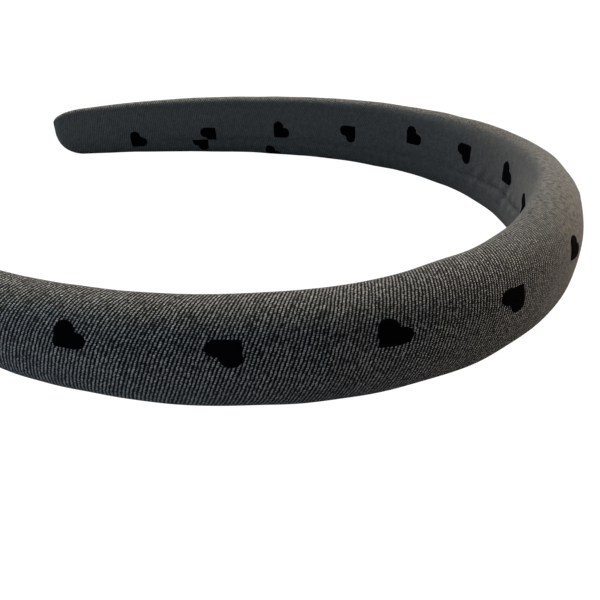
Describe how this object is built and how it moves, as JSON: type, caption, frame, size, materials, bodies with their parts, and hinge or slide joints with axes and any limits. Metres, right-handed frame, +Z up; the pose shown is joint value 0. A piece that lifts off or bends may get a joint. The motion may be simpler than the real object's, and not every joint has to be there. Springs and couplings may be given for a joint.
{
  "type": "padded heart headband",
  "caption": "Padded headband: a sprung hoop wrapped in dark grey twill with small raised black hearts, wide at the crown and narrowing to two rounded ends, lying on its side.",
  "frame": {"origin": "on the table, under the middle of the hoop's box", "axes": "+X towards the crown, +Y across the hoop from one arm to the other, +Z up from the table, across the band's width"},
  "size_m": [0.1634, 0.1417, 0.024],
  "materials": {
    "cover_twill": "matte twill weave with a soft sheen",
    "heart_flock": "matte black flock"
  },
  "bodies": {
    "root": {"heart_inner_01": "heart_flock", "heart_inner_02": "heart_flock", "heart_inner_03": "heart_flock", "heart_inner_04": "heart_flock", "heart_inner_05": "heart_flock", "heart_inner_06": "heart_flock", "heart_inner_07": "heart_flock", "heart_inner_08": "heart_flock", "heart_inner_09": "heart_flock", "heart_inner_10": "heart_flock", "heart_inner_11": "heart_flock", "heart_inner_12": "heart_flock", "heart_inner_13": "heart_flock", "heart_inner_14": "heart_flock", "heart_inner_15": "heart_flock", "heart_lower_01": "heart_flock", "heart_lower_02": "heart_flock", "heart_lower_03": "heart_flock", "heart_lower_04": "heart_flock", "heart_outer_01": "heart_flock", "heart_outer_02": "heart_flock", "heart_outer_03": "heart_flock", "heart_outer_04": "heart_flock", "heart_outer_05": "heart_flock", "heart_outer_06": "heart_flock", "heart_outer_07": "heart_flock", "heart_outer_08": "heart_flock", "heart_outer_09": "heart_flock", "heart_outer_10": "heart_flock", "heart_outer_11": "heart_flock", "heart_outer_12": "heart_flock", "heart_outer_13": "heart_flock", "heart_outer_14": "heart_flock", "heart_outer_15": "heart_flock", "heart_outer_16": "heart_flock", "padded_band": "cover_twill"}
  },
  "joints": []
}
